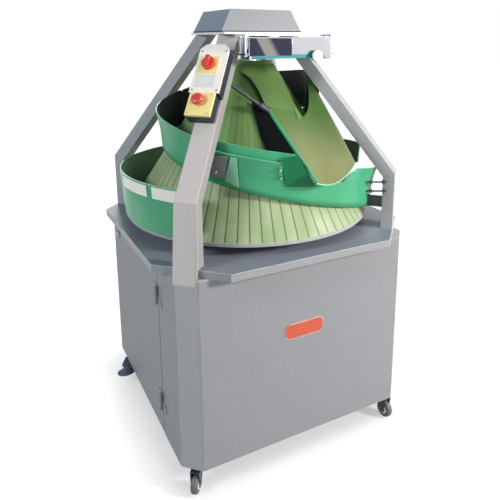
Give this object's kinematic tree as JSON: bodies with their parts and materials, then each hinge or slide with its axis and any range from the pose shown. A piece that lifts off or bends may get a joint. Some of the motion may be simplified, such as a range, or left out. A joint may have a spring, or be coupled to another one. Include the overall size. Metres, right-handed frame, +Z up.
{
  "type": "dough rounder",
  "caption": "Conical dough rounder: a fluted green cone turns inside a spiral track, under a four-pillar frame on a grey cabinet with casters.",
  "frame": {"origin": "on the floor, below the middle of the machine, on the cone's axis", "axes": "+Z up, -Y towards the front panel and the chute's mouth, +X to the right seen from the front"},
  "size_m": [0.926, 0.954, 1.478],
  "materials": {
    "hammer_grey": "grey metallic hammer paint",
    "dark_steel": "dark grey paint",
    "bright_steel": "brushed stainless",
    "track_green": "teal green non-stick coat",
    "cone_green": "pale green non-stick coat",
    "chute_olive": "olive green non-stick coat",
    "white_plastic": "white",
    "black_plastic": "black",
    "black_rubber": "black",
    "yellow_plastic": "signal yellow",
    "red_plastic": "signal red",
    "wheel_grey": "grey non-marking tread"
  },
  "bodies": {
    "frame": {"base_plate": "dark_steel", "corner_posts": "hammer_grey", "front_panel": "hammer_grey", "right_panel": "hammer_grey", "rear_panel": "hammer_grey", "side_strip": "hammer_grey", "top_rails": "dark_steel", "worktop": "hammer_grey", "pillar_near": "hammer_grey", "pillar_right": "hammer_grey", "pillar_rear": "hammer_grey", "pillar_left": "hammer_grey", "crown_plate": "bright_steel", "hood": "hammer_grey", "bearing_column": "dark_steel", "bearings": "bright_steel", "shaft_seal": "black_rubber", "motor_stand": "dark_steel", "gearbox": "hammer_grey", "motor": "track_green", "drive_belt": "black_rubber", "cable_gland": "black_plastic", "collar_track": "track_green", "front_track": "track_green", "upper_track": "track_green", "rear_track": "track_green", "track_liner": "track_green", "rim_strips": "white_plastic", "track_brackets": "dark_steel", "chute": "chute_olive", "chute_strut": "dark_steel", "duster_hanger": "bright_steel", "duster_box": "bright_steel", "control_box": "black_plastic", "control_cover": "white_plastic", "switch_plate": "yellow_plastic", "estop_box": "black_plastic", "estop_cover": "yellow_plastic", "caster_plates": "bright_steel"},
    "cone": {"cone_shaft": "bright_steel", "cone_base_ring": "bright_steel", "cone_hub": "bright_steel", "cone_shell": "cone_green", "cone_top_disc": "bright_steel", "driven_pulley": "bright_steel"},
    "drive": {"drive_pulley": "bright_steel"},
    "door": {"door_panel": "hammer_grey"},
    "lock": {"door_lock": "bright_steel"},
    "selector": {"selector_knob": "red_plastic"},
    "estop": {"estop_button": "red_plastic"},
    "shutter": {"duster_shutter": "track_green"},
    "fork_near": {"fork_near": "dark_steel"},
    "wheel_near": {"wheel_near": "wheel_grey"},
    "fork_right": {"fork_right": "dark_steel"},
    "wheel_right": {"wheel_right": "wheel_grey"},
    "fork_rear": {"fork_rear": "dark_steel"},
    "wheel_rear": {"wheel_rear": "wheel_grey"},
    "fork_left": {"fork_left": "dark_steel"},
    "wheel_left": {"wheel_left": "wheel_grey"},
    "pedal": {"brake_pedal": "dark_steel"}
  },
  "joints": [
    {"name": "cone_spin", "type": "hinge", "parent": "frame", "child": "cone", "pos_m": [0, 0, 0.784], "axis": [0, 0, 1], "continuous": true},
    {"name": "drive_spin", "type": "hinge", "parent": "frame", "child": "drive", "pos_m": [0, 0.25, 0.64], "axis": [0, 0, 1], "continuous": true},
    {"name": "door_swing", "type": "hinge", "parent": "frame", "child": "door", "pos_m": [-0.426, -0.20975, 0.4], "axis": [0, 0, 1], "range_deg": [0, 110]},
    {"name": "lock_turn", "type": "hinge", "parent": "door", "child": "lock", "pos_m": [-0.42, 0.295, 0.633], "axis": [-1, 0, 0], "range_deg": [0, 90]},
    {"name": "selector_turn", "type": "hinge", "parent": "frame", "child": "selector", "pos_m": [-0.22564, -0.20019, 1.30711], "axis": [-0.5558, -0.5558, 0.6182], "range_deg": [0, 90]},
    {"name": "estop_press", "type": "slide", "parent": "frame", "child": "estop", "axis": [0.5558, 0.5558, -0.6182], "range_m": [0, 0.005]},
    {"name": "shutter_slide", "type": "slide", "parent": "frame", "child": "shutter", "axis": [1, 0, 0], "range_m": [0, 0.015]},
    {"name": "swivel_near", "type": "hinge", "parent": "frame", "child": "fork_near", "pos_m": [-0.365, -0.375, 0.08], "axis": [0, 0, 1], "continuous": true},
    {"name": "roll_near", "type": "hinge", "parent": "fork_near", "child": "wheel_near", "pos_m": [-0.38065, -0.39576, 0.031], "axis": [-0.7986, 0.6018, 0], "continuous": true},
    {"name": "swivel_right", "type": "hinge", "parent": "frame", "child": "fork_right", "pos_m": [0.365, -0.375, 0.08], "axis": [0, 0, 1], "continuous": true},
    {"name": "roll_right", "type": "hinge", "parent": "fork_right", "child": "wheel_right", "pos_m": [0.36772, -0.40086, 0.031], "axis": [-0.9945, -0.1045, 0], "continuous": true},
    {"name": "swivel_rear", "type": "hinge", "parent": "frame", "child": "fork_rear", "pos_m": [0.365, 0.375, 0.08], "axis": [0, 0, 1], "continuous": true},
    {"name": "roll_rear", "type": "hinge", "parent": "fork_rear", "child": "wheel_rear", "pos_m": [0.38752, 0.388, 0.031], "axis": [0.5, -0.866, 0], "continuous": true},
    {"name": "swivel_left", "type": "hinge", "parent": "frame", "child": "fork_left", "pos_m": [-0.365, 0.375, 0.08], "axis": [0, 0, 1], "continuous": true},
    {"name": "roll_left", "type": "hinge", "parent": "fork_left", "child": "wheel_left", "pos_m": [-0.37916, 0.35319, 0.031], "axis": [0.8387, -0.5446, 0], "continuous": true},
    {"name": "pedal_press", "type": "hinge", "parent": "fork_left", "child": "pedal", "pos_m": [-0.38243, 0.34816, 0.068], "axis": [0.8387, -0.5446, 0], "range_deg": [0, 10]}
  ],
  "couplings": [
    {"joint": "drive_spin", "follows": "cone_spin", "ratio": 2.7273}
  ]
}
